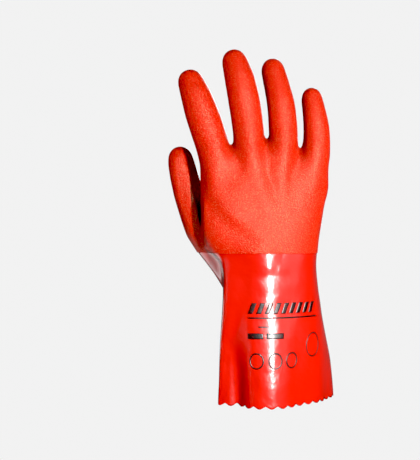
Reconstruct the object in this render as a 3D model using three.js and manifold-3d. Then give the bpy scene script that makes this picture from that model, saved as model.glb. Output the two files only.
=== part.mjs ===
// A right-hand safety glove, cotton-lined and coated, standing on the wavy edge of its cuff.
// Millimetres, +Z up the glove, -Y towards the back of the hand, -X towards the thumb.
// The hand is a hollow shell under a rough coat, whose fingers and thumb end are solids of their
// own, so that each stays hollow for a finger; below the dip line the cuff is a smooth sleeve.
import * as THREE from "three";
import { mergeVertices } from "three/addons/utils/BufferGeometryUtils.js";
import Module from "manifold-3d";

// Driving dimensions
const DIP_LINE = 124; // height at which the rough coat ends
const SEAM_GAP = 0.3; // between neighbouring solids, such as the hand's coat and the sleeve
const COAT_STEP = 0.4; // how far the rough coat stands proud of the sleeve
const WALL = 1.7; // rough coat, base coat and bonded cotton together
const WEB_ROUND = 14; // height over which the palm closes between the fingers
const ARCH_START = 160; // height above which the palm follows the arch of the webs
const FINGER_LINE = 219.5; // height just above the webs, where the fingers' solids start
const THUMB_LINE = 174; // height where the thumb end's solid starts, clear of the palm
const SCALLOPS = 29; // waves round the cuff's cut edge, about 10 mm apart
const SCALLOP_DEPTH = 2.3;
const FIRST_TIP = 0.94; // how far round from the right side the first tip lies, in scallops
const EDGE_BAND = 6; // height of the finely divided band above the cut edge
const CLEARANCE = 1; // room round the thumb's region, which touches no other solid
const OVERRUN = 8; // how far a hollow or a half runs on past the face where it is cut off
const CENTRING = new THREE.Vector3(0, -0.5, 0); // puts the origin under the glove's middle

// How finely each shape is divided
const SIDES_PER_SCALLOP = 6;
const EDGE_SIDES = SCALLOPS * SIDES_PER_SCALLOP;
const EDGE_TO_SLEEVE = 3; // sides of the cut edge to one side of the sleeve above it
const PALM_SIDES = 60;
const PALM_HOLLOW_SIDES = 40;
const STALL_SIDES = 18;
const STALL_HOLLOW_SIDES = 14;
const STALL_STEPS = 8;
const DOME_STEPS = 4;
const EDGE_SAMPLES = 360;
const SLEEVE_HEIGHTS = [18, 34, 52, 72, 92, 108, 118, DIP_LINE + OVERRUN];
const PALM_HEIGHTS = [DIP_LINE - OVERRUN, 128, 136, 148, 162, 176, 190];

// The sleeve and the palm: level sections by height. Left and right are the outline seen from
// the back of the hand, front and back the thickness, lean turns the section about its middle
// (how much further back the right edge lies), and square is 2 for an ellipse, more for a box.
const BODY = [
  { z: 0, left: -28.3, right: 72.5, front: -33.1, back: 39.3, lean: 20.6, square: 2.1 },
  { z: 15, left: -27.6, right: 71.2, front: -33.2, back: 38.8, lean: 19, square: 2.1 },
  { z: 31, left: -27.2, right: 69.4, front: -33.4, back: 38.2, lean: 17, square: 2.1 },
  { z: 46, left: -26.8, right: 66.1, front: -33.5, back: 37.3, lean: 14.5, square: 2.1 },
  { z: 61, left: -25.8, right: 62.1, front: -33.4, back: 36.2, lean: 12, square: 2.1 },
  { z: 77, left: -24.6, right: 58.9, front: -33.2, back: 35.2, lean: 9.5, square: 2.1 },
  { z: 93, left: -23.8, right: 56.8, front: -33, back: 34.2, lean: 7, square: 2.1 },
  { z: 108, left: -24.3, right: 55.8, front: -32.2, back: 33.2, lean: 4.5, square: 2.1 },
  { z: 118, left: -27.5, right: 55.6, front: -31, back: 32, lean: 3, square: 2.15 },
  { z: 128, left: -34.5, right: 56.2, front: -30, back: 30, lean: 3, square: 2.2 },
  { z: 140, left: -39.8, right: 57.5, front: -28.4, back: 27, lean: 3, square: 2.25 },
  { z: 152, left: -41, right: 59.7, front: -26.7, back: 24, lean: 3, square: 2.3 },
  { z: 165, left: -41.8, right: 61.6, front: -24.6, back: 21.3, lean: 3, square: 2.3 },
  { z: 178, left: -42.1, right: 63.3, front: -22, back: 18.6, lean: 3, square: 2.3 },
  { z: 191, left: -42.3, right: 64.9, front: -18.8, back: 15.8, lean: 3, square: 2.3 },
  { z: 204, left: -42.6, right: 65.6, front: -15.5, back: 13.3, lean: 3, square: 2.3 },
  { z: 218, left: -42.6, right: 65.6, front: -13, back: 11.5, lean: 3, square: 2.3 },
];

// The top of the palm, arched from the thumb's side to the little finger's
const WEBS = [
  { x: -43, z: 204 },
  { x: -16, z: 212.5 },
  { x: 13.3, z: 218 },
  { x: 42, z: 210 },
  { x: 66, z: 195 },
];
const WEB_TOP = 218;

// Upright folds and hollows of the surface: direction seen from above (0 is the right, 270 the
// front), how deep each is, how wide in degrees, and the heights where it starts, peaks and ends
const FOLDS = {
  front_ridge: { angle: 262, depth: -7.6, spread: 23, low: -60, peak: 0, high: 108 },
  front_left: { angle: 229, depth: 9, spread: 10, low: -60, peak: 0, high: 92 },
  right_side: { angle: 2, depth: 3.7, spread: 17, low: -60, peak: 0, high: 85 },
  palm_side: { angle: 78, depth: 4.5, spread: 20, low: -60, peak: 20, high: 100 },
  palm_hollow: { angle: 92, depth: 5, spread: 38, low: 118, peak: 168, high: 216 },
};

// The stalls, each from its root in the palm to where the rounded tip starts: centre line,
// width seen from the back of the hand, thickness from back to palm side, and the tip's height
const STALLS = {
  thumb_mound: {
    tip: 8,
    rows: [
      { z: 84, x: 2, y: 12, width: 34, depth: 38 },
      { z: 100, x: -4, y: 15.5, width: 42, depth: 41 },
      { z: 116, x: -10.5, y: 18.5, width: 46, depth: 41 },
      { z: 132, x: -17, y: 19.5, width: 46, depth: 39 },
      { z: 148, x: -24, y: 17.5, width: 42, depth: 33 },
      { z: 163, x: -30.5, y: 14.5, width: 33, depth: 25 },
    ],
  },
  thumb: {
    tip: 13,
    rows: [
      { z: 88, x: -1, y: 8, width: 30, depth: 34 },
      { z: 104, x: -9.5, y: 12, width: 34, depth: 36 },
      { z: 122, x: -22, y: 16, width: 35, depth: 35 },
      { z: 142, x: -38.2, y: 21, width: 33, depth: 31 },
      { z: 162, x: -48, y: 27, width: 28, depth: 27 },
      { z: 184, x: -55.5, y: 31.5, width: 25.5, depth: 24 },
      { z: 204, x: -60, y: 33.5, width: 23, depth: 21.5 },
    ],
  },
  index_finger: {
    tip: 9.5,
    rows: [
      { z: 160, x: -21, y: -4, width: 22, depth: 36 },
      { z: 185, x: -26.5, y: -2, width: 26.5, depth: 33.5 },
      { z: 203, x: -29.3, y: -1.5, width: 28, depth: 32 },
      { z: 216, x: -32.9, y: -0.5, width: 27.8, depth: 28.5 },
      { z: 231, x: -37.8, y: 1, width: 28.4, depth: 26 },
      { z: 247, x: -43.2, y: 4.5, width: 27.4, depth: 25 },
      { z: 262, x: -48.1, y: 9.5, width: 24.2, depth: 22.5 },
      { z: 271, x: -51.6, y: 14, width: 21.5, depth: 20 },
    ],
  },
  middle_finger: {
    tip: 10.5,
    rows: [
      { z: 160, x: 1, y: -4, width: 22, depth: 38 },
      { z: 185, x: 0.3, y: -3, width: 26, depth: 36.5 },
      { z: 203, x: -0.6, y: -2, width: 26.5, depth: 33 },
      { z: 218, x: -1.4, y: -0.5, width: 25.6, depth: 28 },
      { z: 235, x: -3, y: 1.5, width: 26.4, depth: 25.5 },
      { z: 252, x: -5.5, y: 4.5, width: 26.5, depth: 25 },
      { z: 267, x: -8.1, y: 8.5, width: 26, depth: 24 },
      { z: 278, x: -10.7, y: 12.5, width: 24.4, depth: 22.5 },
      { z: 288, x: -13.6, y: 16.6, width: 21.5, depth: 20 },
    ],
  },
  ring_finger: {
    tip: 11.5,
    rows: [
      { z: 160, x: 22, y: -3, width: 22, depth: 37 },
      { z: 185, x: 25, y: -2, width: 25.5, depth: 35.5 },
      { z: 203, x: 26.6, y: -1, width: 26, depth: 31.5 },
      { z: 218, x: 27.5, y: 0, width: 23.8, depth: 26 },
      { z: 236, x: 26.9, y: 3, width: 24.2, depth: 23.5 },
      { z: 252, x: 25.5, y: 7, width: 23.2, depth: 22.5 },
      { z: 268, x: 22.3, y: 13.5, width: 21.5, depth: 21 },
      { z: 280, x: 19.8, y: 18.5, width: 20.5, depth: 19.5 },
    ],
  },
  little_finger: {
    tip: 9.5,
    rows: [
      { z: 155, x: 41, y: 0, width: 20, depth: 34 },
      { z: 180, x: 48, y: 1, width: 24, depth: 33 },
      { z: 200, x: 53.4, y: 2, width: 25.5, depth: 28.5 },
      { z: 214, x: 55.5, y: 3, width: 23, depth: 24 },
      { z: 226, x: 56, y: 5, width: 22.2, depth: 22 },
      { z: 237, x: 55.1, y: 7.5, width: 20.9, depth: 20.5 },
      { z: 248, x: 53.5, y: 11, width: 19, depth: 19 },
      { z: 256, x: 52.6, y: 14, width: 17.8, depth: 17.5 },
    ],
  },
};

// Smooth values between the rows of a table, looked up by its first column
function reader(rows) {
  const [key, ...columns] = Object.keys(rows[0]);
  const spline = new THREE.CubicInterpolant(
    rows.map((row) => row[key]),
    rows.flatMap((row) => columns.map((name) => row[name])),
    columns.length,
  );
  return (at) => {
    const values = spline.evaluate(at);
    return Object.fromEntries(columns.map((name, i) => [name, values[i]]));
  };
}

const bodyAt = reader(BODY);
const webAt = reader(WEBS);

// A cosine or sine, pushed towards a rounded box when square is over 2
const squared = (value, square) => Math.sign(value) * Math.abs(value) ** (2 / square);

// How far the folds push the surface in at one direction and height
function foldDepth(degrees, z) {
  return Object.values(FOLDS).reduce((sum, fold) => {
    const away = ((degrees - fold.angle + 540) % 360) - 180;
    const rise = THREE.MathUtils.smoothstep(z, fold.low, fold.peak);
    const fall = THREE.MathUtils.smoothstep(z, fold.peak, fold.high);
    return sum + fold.depth * rise * (1 - fall) * Math.exp(-((away / fold.spread) ** 2));
  }, 0);
}

// Moves a closed ring of points inwards by a distance, in its own level plane
function inset(ring, distance) {
  return ring.map((point, i) => {
    const before = ring.at(i - 1);
    const after = ring[(i + 1) % ring.length];
    const along = new THREE.Vector2(after.x - before.x, after.y - before.y).normalize();
    return new THREE.Vector3(
      point.x - along.y * distance,
      point.y + along.x * distance,
      point.z,
    );
  });
}

// One level section of the sleeve or the palm; thin is below 1 where the palm closes
function bodyRing(z, angles, inward, thin = 1) {
  const at = bodyAt(z);
  const half = (at.right - at.left) / 2;
  const middle = new THREE.Vector2((at.right + at.left) / 2, (at.back + at.front) / 2);
  const ring = angles.map((angle) => {
    const across = squared(Math.cos(angle), at.square);
    const through = squared(Math.sin(angle), at.square) * ((at.back - at.front) / 2);
    const out = new THREE.Vector2(half * across, through + at.lean * across);
    const degrees = THREE.MathUtils.radToDeg(out.angle());
    out.setLength(out.length() - foldDepth(degrees, z));
    return new THREE.Vector3(middle.x + out.x, middle.y + out.y, z);
  });
  return inset(ring, inward).map((point) => {
    const lean = (at.lean * (point.x - middle.x)) / half;
    point.y = middle.y + lean + (point.y - middle.y - lean) * thin;
    return point;
  });
}

// Angles once round, in equal steps
const turns = (count) => Array.from({ length: count }, (_, i) => (2 * Math.PI * i) / count);

// Angles whose points lie in equal steps along the cut edge, so that all scallops are as wide.
// The first two lie at the two corners of a scallop's flat tip.
const cutEdge = new THREE.CatmullRomCurve3(bodyRing(0, turns(EDGE_SAMPLES), 0), true);
cutEdge.arcLengthDivisions = 4 * EDGE_SAMPLES;
const edgeStart = FIRST_TIP * SIDES_PER_SCALLOP - 0.5;
const edgeAngles = Array.from({ length: EDGE_SIDES }, (_, i) => {
  return 2 * Math.PI * cutEdge.getUtoTmapping(((i + edgeStart) / EDGE_SIDES) % 1);
});
const sleeveAngles = edgeAngles.filter((_, i) => i % EDGE_TO_SLEEVE === 1);

// A closed surface through rings of points, bottom ring first. Neighbouring rings have as many
// points, or the lower one a whole multiple of them. Each end is zipped shut across its ring, or
// the bottom is closed by a fan round a given middle point.
function loft(rings, bottom) {
  const corners = [];
  const face = (...points) => {
    for (let i = 2; i < points.length; i++) {
      corners.push(...points[0], ...points[i - 1], ...points[i]);
    }
  };
  const zip = (ring, up) => {
    for (let i = 0; i < ring.length / 2; i++) {
      const quad = [ring[i], ring[i + 1], ring.at(-i - 1), ring.at(-i)];
      face(...(up ? quad : quad.reverse()));
    }
  };
  for (let k = 1; k < rings.length; k++) {
    const [low, high] = [rings[k - 1], rings[k]];
    const ratio = low.length / high.length;
    low.forEach((point, j) => {
      const i = Math.floor(j / ratio);
      const next = high[(i + 1) % high.length];
      const beside = low[(j + 1) % low.length];
      const turning = Math.floor(ratio / 2);
      face(point, beside, j % ratio > turning ? next : high[i]);
      if (j % ratio === turning) face(beside, next, high[i]);
    });
  }
  if (bottom) {
    rings[0].forEach((point, i, ring) => face(bottom, ring[(i + 1) % ring.length], point));
  } else {
    zip(rings[0], false);
  }
  zip(rings.at(-1), true);
  const position = new THREE.Float32BufferAttribute(corners, 3);
  return new THREE.BufferGeometry().setAttribute("position", position);
}

const wasm = await Module();
wasm.setup();

// A three.js geometry as a manifold-3d solid; faces that have shrunk to a line are dropped
function solidOf(geometry) {
  const bare = geometry.index ? geometry.toNonIndexed() : geometry.clone();
  ["normal", "uv"].forEach((name) => bare.deleteAttribute(name));
  const merged = mergeVertices(bare, 1e-4);
  const kept = [];
  for (let i = 0; i < merged.index.count; i += 3) {
    const [a, b, c] = merged.index.array.subarray(i, i + 3);
    if (a !== b && b !== c && c !== a) kept.push(a, b, c);
  }
  const vertProperties = merged.attributes.position.array;
  const triVerts = new Uint32Array(kept);
  return new wasm.Manifold(new wasm.Mesh({ numProp: 3, vertProperties, triVerts }));
}

function geometryOf(solid) {
  const { vertProperties, triVerts } = solid.getMesh();
  const geometry = new THREE.BufferGeometry()
    .setAttribute("position", new THREE.BufferAttribute(vertProperties, 3))
    .setIndex(new THREE.BufferAttribute(triVerts, 1));
  geometry.computeVertexNormals();
  return geometry;
}

// One stall, lofted square to its centre line and closed by a rounded tip
function stallSolid({ rows, tip }, sides, inward) {
  const at = reader(rows);
  const [bottom, top] = [rows[0].z, rows.at(-1).z];
  const centre = (z) => new THREE.Vector3(at(z).x, at(z).y, z);
  const toPalm = new THREE.Vector3(0, 1, 0);
  const heading = (z) => {
    const [low, high] = [Math.max(z - 1, bottom), Math.min(z + 1, top)];
    return centre(high).sub(centre(low)).normalize();
  };
  const section = (z, beyond, shrink) => {
    const along = heading(z);
    const side = new THREE.Vector3().crossVectors(toPalm, along).normalize();
    const back = new THREE.Vector3().crossVectors(along, side);
    const middle = centre(z).addScaledVector(along, beyond);
    const { width, depth } = at(z);
    return Array.from({ length: sides }, (_, i) => {
      const angle = (2 * Math.PI * i) / sides;
      return middle
        .clone()
        .addScaledVector(side, Math.cos(angle) * (width / 2 - inward) * shrink)
        .addScaledVector(back, Math.sin(angle) * (depth / 2 - inward) * shrink);
    });
  };
  const rings = [];
  for (let k = 0; k <= STALL_STEPS; k++) {
    rings.push(section(THREE.MathUtils.lerp(bottom, top, k / STALL_STEPS), 0, 1));
  }
  for (let k = 1; k <= DOME_STEPS; k++) {
    const turn = (Math.PI / 2) * (k / DOME_STEPS);
    const shrink = k === DOME_STEPS ? 0 : Math.cos(turn);
    rings.push(section(top, (tip - inward) * Math.sin(turn), shrink));
  }
  return solidOf(loft(rings));
}

// The palm from below the dip line to the webs, closed on top by a rounded edge
function palmSolid(sides, inward) {
  const start = WEB_TOP - WEB_ROUND;
  const angles = turns(sides);
  const rings = [...PALM_HEIGHTS, start].map((z) => bodyRing(z, angles, inward));
  for (let k = 1; k <= DOME_STEPS; k++) {
    const turn = (Math.PI / 2) * (k / DOME_STEPS);
    const thin = k === DOME_STEPS ? 0 : Math.cos(turn);
    const z = start + (WEB_ROUND - inward) * Math.sin(turn);
    rings.push(bodyRing(z, angles, inward, thin));
  }
  for (const point of rings.flat()) {
    const share = THREE.MathUtils.smoothstep(point.z, ARCH_START, start);
    point.z += (webAt(point.x).z - WEB_TOP) * share;
  }
  return solidOf(loft(rings));
}

// The sleeve's outside. Its bottom ring rises and falls with the scallops, whose tips are flat:
// two neighbouring points of each tip lie at height 0.
function sleeveSolid(inward) {
  const edge = bodyRing(0, edgeAngles, inward);
  const flatTip = Math.cos(Math.PI / SIDES_PER_SCALLOP);
  edge.forEach((point, i) => {
    const wave = Math.cos((2 * Math.PI * (i - 0.5)) / SIDES_PER_SCALLOP) / flatTip;
    point.z = (SCALLOP_DEPTH * (1 - wave)) / 2;
  });
  const band = bodyRing(EDGE_BAND, edgeAngles, inward);
  const rings = SLEEVE_HEIGHTS.map((z) => bodyRing(z, sleeveAngles, inward));
  const underside = new THREE.Vector3(bodyAt(0).left / 2 + bodyAt(0).right / 2, 0, 0);
  return solidOf(loft([edge, band, ...rings], underside));
}

// The hollow of the sleeve, which runs out below the cut edge
function sleeveHollow(inward) {
  const heights = [-OVERRUN, EDGE_BAND, ...SLEEVE_HEIGHTS];
  return solidOf(loft(heights.map((z) => bodyRing(z, sleeveAngles, inward))));
}

// A block much larger than the glove, above a height
function blockAbove(z) {
  const size = 400;
  return solidOf(new THREE.BoxGeometry(size, size, size).translate(0, 0, z + size / 2));
}

const unite = (solids) => solids.reduce((sum, solid) => sum.add(solid));

function stallSolids(names, sides, inward) {
  return names.map((name) => stallSolid(STALLS[name], sides, inward));
}

// The palm with the foot of the thumb, then the thumb's end and the fingers from its side on
function coatedHand() {
  const names = Object.keys(STALLS);
  const outside = unite([palmSolid(PALM_SIDES, 0), ...stallSolids(names, STALL_SIDES, 0)]);
  const hollow = unite([
    palmSolid(PALM_HOLLOW_SIDES, WALL),
    ...stallSolids(names, STALL_HOLLOW_SIDES, WALL),
  ]);
  const whole = outside.subtract(hollow).intersect(blockAbove(DIP_LINE + SEAM_GAP / 2));
  const thumbRegion = stallSolid(STALLS.thumb, STALL_SIDES, -CLEARANCE);
  const thumbAbove = (z) => thumbRegion.intersect(blockAbove(z));
  const fingers = whole.subtract(thumbRegion).intersect(blockAbove(FINGER_LINE + SEAM_GAP / 2));
  const fromLeft = fingers.decompose().sort((a, b) => a.boundingBox().min[0] - b.boundingBox().min[0]);
  const palm = whole
    .subtract(blockAbove(FINGER_LINE - SEAM_GAP / 2))
    .subtract(thumbAbove(THUMB_LINE - SEAM_GAP / 2));
  const thumb = whole.intersect(thumbAbove(THUMB_LINE + SEAM_GAP / 2));
  return [palm, thumb, ...fromLeft];
}

// The sleeve also carries the foot of the thumb's mound, which swells it below the dip line
function gauntletCuff() {
  const names = ["thumb_mound", "thumb"];
  const outside = unite([sleeveSolid(COAT_STEP), ...stallSolids(names, STALL_SIDES, COAT_STEP)]);
  const hollow = unite([sleeveHollow(WALL), ...stallSolids(names, STALL_HOLLOW_SIDES, WALL)]);
  return outside.subtract(hollow).subtract(blockAbove(DIP_LINE - SEAM_GAP / 2));
}

function part(name, solid, material) {
  const mesh = new THREE.Mesh(geometryOf(solid), material);
  mesh.name = name;
  return mesh;
}

const HAND_NODES = [
  "coated_hand",
  "thumb_end",
  "index_finger",
  "middle_finger",
  "ring_finger",
  "little_finger",
];
const roughCoat = new THREE.MeshStandardMaterial({ color: 0xff3a1c, roughness: 0.75 });
const glossyCoat = new THREE.MeshStandardMaterial({ color: 0xf21a0a, roughness: 0.18 });

const glove = new THREE.Group();
glove.position.copy(CENTRING);
coatedHand().forEach((solid, i) => glove.add(part(HAND_NODES[i], solid, roughCoat)));
glove.add(part("gauntlet_cuff", gauntletCuff(), glossyCoat));

export default glove;
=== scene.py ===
# A right-hand cotton-lined gauntlet glove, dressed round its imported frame: the rough coated hand,
# the glossy cuff with its wavy cut edge, the cotton inside, the printed marks and the studio.
import bisect
import functools
import math

import bmesh
import bpy
from bpy.props import FloatProperty, FloatVectorProperty, IntProperty, PointerProperty
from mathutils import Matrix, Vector
from mathutils.bvhtree import BVHTree


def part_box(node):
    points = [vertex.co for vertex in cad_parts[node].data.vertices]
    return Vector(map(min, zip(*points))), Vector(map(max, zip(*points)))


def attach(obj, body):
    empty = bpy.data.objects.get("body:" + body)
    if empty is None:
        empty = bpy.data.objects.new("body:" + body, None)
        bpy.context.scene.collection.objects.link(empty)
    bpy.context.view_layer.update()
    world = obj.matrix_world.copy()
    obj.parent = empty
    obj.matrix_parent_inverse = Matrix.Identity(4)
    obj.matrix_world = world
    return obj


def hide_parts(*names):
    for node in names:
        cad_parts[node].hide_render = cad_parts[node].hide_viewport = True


bl_info = {
    "name": "Gauntlet Glove",
    "version": (1, 0, 0),
    "blender": (4, 5, 0),
    "location": "View3D > Sidebar > Glove",
    "description": "Dresses the parts of a cotton-lined gauntlet glove",
    "category": "Mesh",
}

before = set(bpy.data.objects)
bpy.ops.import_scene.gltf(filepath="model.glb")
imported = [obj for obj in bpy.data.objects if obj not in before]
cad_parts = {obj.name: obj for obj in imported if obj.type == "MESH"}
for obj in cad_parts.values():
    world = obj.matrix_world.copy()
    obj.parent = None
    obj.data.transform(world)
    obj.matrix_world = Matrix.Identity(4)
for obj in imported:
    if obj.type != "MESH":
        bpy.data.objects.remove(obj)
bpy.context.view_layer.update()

MM = 0.001

# Points closer together than this are one
MERGE = 0.01 * MM

HAND_NODES = (
    "coated_hand",
    "thumb_end",
    "index_finger",
    "middle_finger",
    "ring_finger",
    "little_finger",
)
HAND_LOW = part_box("coated_hand")[0].z
CUFF_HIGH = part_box("gauntlet_cuff")[1].z
DIP_LINE = (HAND_LOW + CUFF_HIGH) / 2
SEAM = HAND_LOW - CUFF_HIGH

# Heights where one node of the frame ends and the next begins
NODE_FEET = [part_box(node)[0].z for node in HAND_NODES]
SEAM_LEVELS = [level for foot in NODE_FEET for level in (foot, foot - SEAM)]

# How far the foot of a hand node and that of the cuff are let down, and the height at which the
# cuff's wavy foot is cut level before
HAND_DROP = 1.5 * MM
CUFF_DROP = 15 * MM
CUFF_CUT = 3 * MM

# Rounds of smoothing of the skin whose left edge is squared, and of the whole form at the end
SQUARED_ROUNDS = 3
LAST_ROUNDS = 2

# Distances in metres that lie outside the glove and outside the cuff, where rays start, and the two
# ways that they go through the glove
OUTSIDE_GLOVE = 0.2
OUTSIDE_CUFF = 0.12
FORWARD = Vector((0, -1, 0))
BACKWARD = Vector((0, 1, 0))

# Half the size of the patch over which a depth is measured, and the lowest height for that, all in
# millimetres
PATCH_ACROSS = 1.5
PATCH_UP = 3
LOWEST_PATCH = -10

# How fast a front form comes in as the surface turns to the front
FACING_GAIN = 4

# How far below the dip line the cuff starts to spread, and the height over which that comes in
SPREAD_START = 12 * MM
SPREAD_FADE = 30 * MM

# How far the coat's lower rim goes below the dip line, and how much of the coat's step it turns in
RIM_DROP = 0.3 * MM
RIM_TUCK = 0.4

# Middle of the cuff at its mouth, and how far that shifts up to the dip line, in millimetres
CUFF_MIDDLE = {"x": 22, "y": 3}
CUFF_SHIFT = {"x": -9, "y": -2}

# How far the cuff goes up under the hand's coat, and the lowest height at which it is measured
CUFF_TUCK = 2.5 * MM
LOWEST_RING = 0.5 * MM

# Valleys and swellings of the back of the hand and the cuff's front, each a path seen from the
# front: millimetres across and up, how far the surface rises there, and how wide the form is
FRONT_FORMS = {
    "thumb_web_crease": [
        {"x": -44, "z": 196, "rise": -1.0, "width": 3.0},
        {"x": -41.5, "z": 186, "rise": -2.2, "width": 3.0},
        {"x": -40, "z": 177, "rise": -2.4, "width": 3.2},
        {"x": -37.5, "z": 168, "rise": -2.0, "width": 3.8},
        {"x": -30, "z": 156.5, "rise": -0.9, "width": 5.5},
        {"x": -18, "z": 145.5, "rise": -0.75, "width": 6.0},
        {"x": -5, "z": 136.5, "rise": -0.7, "width": 6.0},
        {"x": 5, "z": 132, "rise": -0.4, "width": 6.5},
        {"x": 14, "z": 129, "rise": 0.0, "width": 6.5},
    ],
    "palm_left_shoulder": [
        {"x": -40, "z": 206, "rise": 0.0, "width": 4.5},
        {"x": -35, "z": 190, "rise": 1.0, "width": 4.5},
        {"x": -36, "z": 172, "rise": 1.0, "width": 4.5},
        {"x": -37, "z": 160, "rise": 0.0, "width": 4.5},
    ],
    "thumb_side_ridge": [
        {"x": -31, "z": 180, "rise": 0.8, "width": 7.0},
        {"x": -22, "z": 161, "rise": 1.1, "width": 7.0},
        {"x": -5, "z": 147.5, "rise": 1.2, "width": 7.0},
        {"x": 8, "z": 140, "rise": 1.0, "width": 7.0},
        {"x": 18, "z": 136, "rise": 0.0, "width": 7.0},
    ],
    "index_middle_valley": [
        {"x": -16, "z": 213, "rise": -2.6, "width": 4.0},
        {"x": -13, "z": 202, "rise": -1.8, "width": 4.5},
        {"x": -10, "z": 190, "rise": -0.8, "width": 6.0},
        {"x": -9, "z": 180, "rise": 0.0, "width": 6.0},
    ],
    "middle_ring_valley": [
        {"x": 13, "z": 219, "rise": -2.6, "width": 4.0},
        {"x": 12.5, "z": 205, "rise": -2.0, "width": 4.5},
        {"x": 14, "z": 190, "rise": -2.0, "width": 4.5},
        {"x": 18, "z": 175, "rise": -1.6, "width": 5.0},
        {"x": 24, "z": 158, "rise": -0.6, "width": 6.0},
        {"x": 28, "z": 148, "rise": 0.0, "width": 6.0},
    ],
    "middle_ridge": [
        {"x": 3, "z": 203, "rise": 0.3, "width": 5.0},
        {"x": 6, "z": 188, "rise": 0.5, "width": 5.0},
        {"x": 10, "z": 170, "rise": 0.5, "width": 5.5},
        {"x": 15, "z": 154, "rise": 0.2, "width": 6.0},
    ],
    "ring_little_valley": [
        {"x": 41, "z": 212, "rise": -2.8, "width": 4.0},
        {"x": 38, "z": 200, "rise": -2.4, "width": 5.0},
        {"x": 34, "z": 188, "rise": -2.1, "width": 5.5},
        {"x": 33, "z": 170, "rise": -1.3, "width": 6.5},
        {"x": 33, "z": 155, "rise": 0.0, "width": 7.0},
    ],
    "index_knuckle": [
        {"x": -27, "z": 212, "rise": 0.9, "width": 9.0},
        {"x": -24, "z": 200, "rise": 0.9, "width": 9.0},
    ],
    "middle_knuckle": [
        {"x": -1, "z": 228, "rise": 0.9, "width": 7.0},
        {"x": 2, "z": 204, "rise": 1.1, "width": 7.0},
    ],
    "ring_knuckle": [
        {"x": 27, "z": 222, "rise": 0.8, "width": 6.0},
        {"x": 27, "z": 204, "rise": 0.9, "width": 6.0},
    ],
    "little_knuckle": [
        {"x": 53, "z": 212, "rise": 0.7, "width": 6.0},
        {"x": 51, "z": 196, "rise": 0.8, "width": 7.0},
    ],
    "thumb_left_shoulder": [
        {"x": -65, "z": 205, "rise": 1.0, "width": 4.0},
        {"x": -65.5, "z": 190, "rise": 2.2, "width": 4.5},
        {"x": -62, "z": 170, "rise": 2.4, "width": 4.5},
        {"x": -56, "z": 152, "rise": 2.4, "width": 4.5},
        {"x": -48, "z": 137, "rise": 2.0, "width": 4.5},
    ],
    "thumb_right_shoulder": [
        {"x": -59, "z": 207, "rise": 0.8, "width": 4.5},
        {"x": -54, "z": 187, "rise": 1.0, "width": 4.5},
        {"x": -52, "z": 168, "rise": 1.0, "width": 4.5},
        {"x": -49, "z": 152, "rise": 0.8, "width": 4.5},
    ],
    "neck_swell": [
        {"x": 9, "z": 126, "rise": 2.8, "width": 13.0},
        {"x": 9, "z": 110, "rise": 2.2, "width": 13.0},
        {"x": 10, "z": 92, "rise": 0.8, "width": 12.0},
        {"x": 9, "z": 78, "rise": 0.0, "width": 12.0},
    ],
    "neck_crease": [
        {"x": -12, "z": 103, "rise": -0.4, "width": 5.0},
        {"x": 12, "z": 105, "rise": -1.0, "width": 5.0},
        {"x": 40, "z": 107, "rise": -0.4, "width": 5.0},
    ],
    "cuff_ridge_right": [
        {"x": 28, "z": 84, "rise": 0.0, "width": 12.0},
        {"x": 28, "z": 60, "rise": 1.2, "width": 12.0},
        {"x": 29, "z": -10, "rise": 1.4, "width": 12.0},
    ],
    "cuff_hollow_left": [
        {"x": -15, "z": 84, "rise": 0.0, "width": 5.0},
        {"x": -14, "z": 62, "rise": -0.9, "width": 4.5},
        {"x": -13.5, "z": 36, "rise": -1.7, "width": 4.0},
        {"x": -12.5, "z": -10, "rise": -2.2, "width": 3.5},
    ],
    "cuff_ridge_left": [
        {"x": -6, "z": 55, "rise": 0.0, "width": 5.0},
        {"x": -5.5, "z": 36, "rise": 1.2, "width": 4.5},
        {"x": -5, "z": 20, "rise": 1.8, "width": 4.0},
        {"x": -5, "z": -10, "rise": 2.0, "width": 4.0},
    ],
}

# Steps in the cuff's front, each a path like the others: left of it the surface lies further in
FRONT_STEPS = {
    "cuff_fold": [
        {"x": -15, "z": 68, "rise": 0.0, "width": 5.0},
        {"x": -14, "z": 46, "rise": 1.3, "width": 4.0},
        {"x": -9, "z": 30, "rise": 2.4, "width": 2.0},
        {"x": -8.5, "z": -10, "rise": 4.0, "width": 1.8},
    ],
}

# The edge along which the thumb's face turns to its flat inner side: millimetres across and up
THUMB_EDGE = (
    {"x": -38.5, "z": 126},
    {"x": -41.0, "z": 138.7},
    {"x": -42.6, "z": 145.2},
    {"x": -44.6, "z": 156.2},
    {"x": -46.3, "z": 167.2},
    {"x": -47.0, "z": 175.8},
    {"x": -48.2, "z": 185.3},
    {"x": -51.2, "z": 194.2},
    {"x": -54.2, "z": 204.2},
    {"x": -57.5, "z": 214.6},
)

# Where the thumb lies, how far past the edge its inner side is pressed flat and the least depth
# that stays behind it, in millimetres; with the slope of the flat side, and the rounds of smoothing
# before and after
THUMB_SIDE = {
    "left_of": -30,
    "behind": 4,
    "below": 216,
    "reach": 11,
    "spare": 6,
    "slope": 2.0,
    "rounds_before": 4,
    "rounds_after": 6,
}

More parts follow.
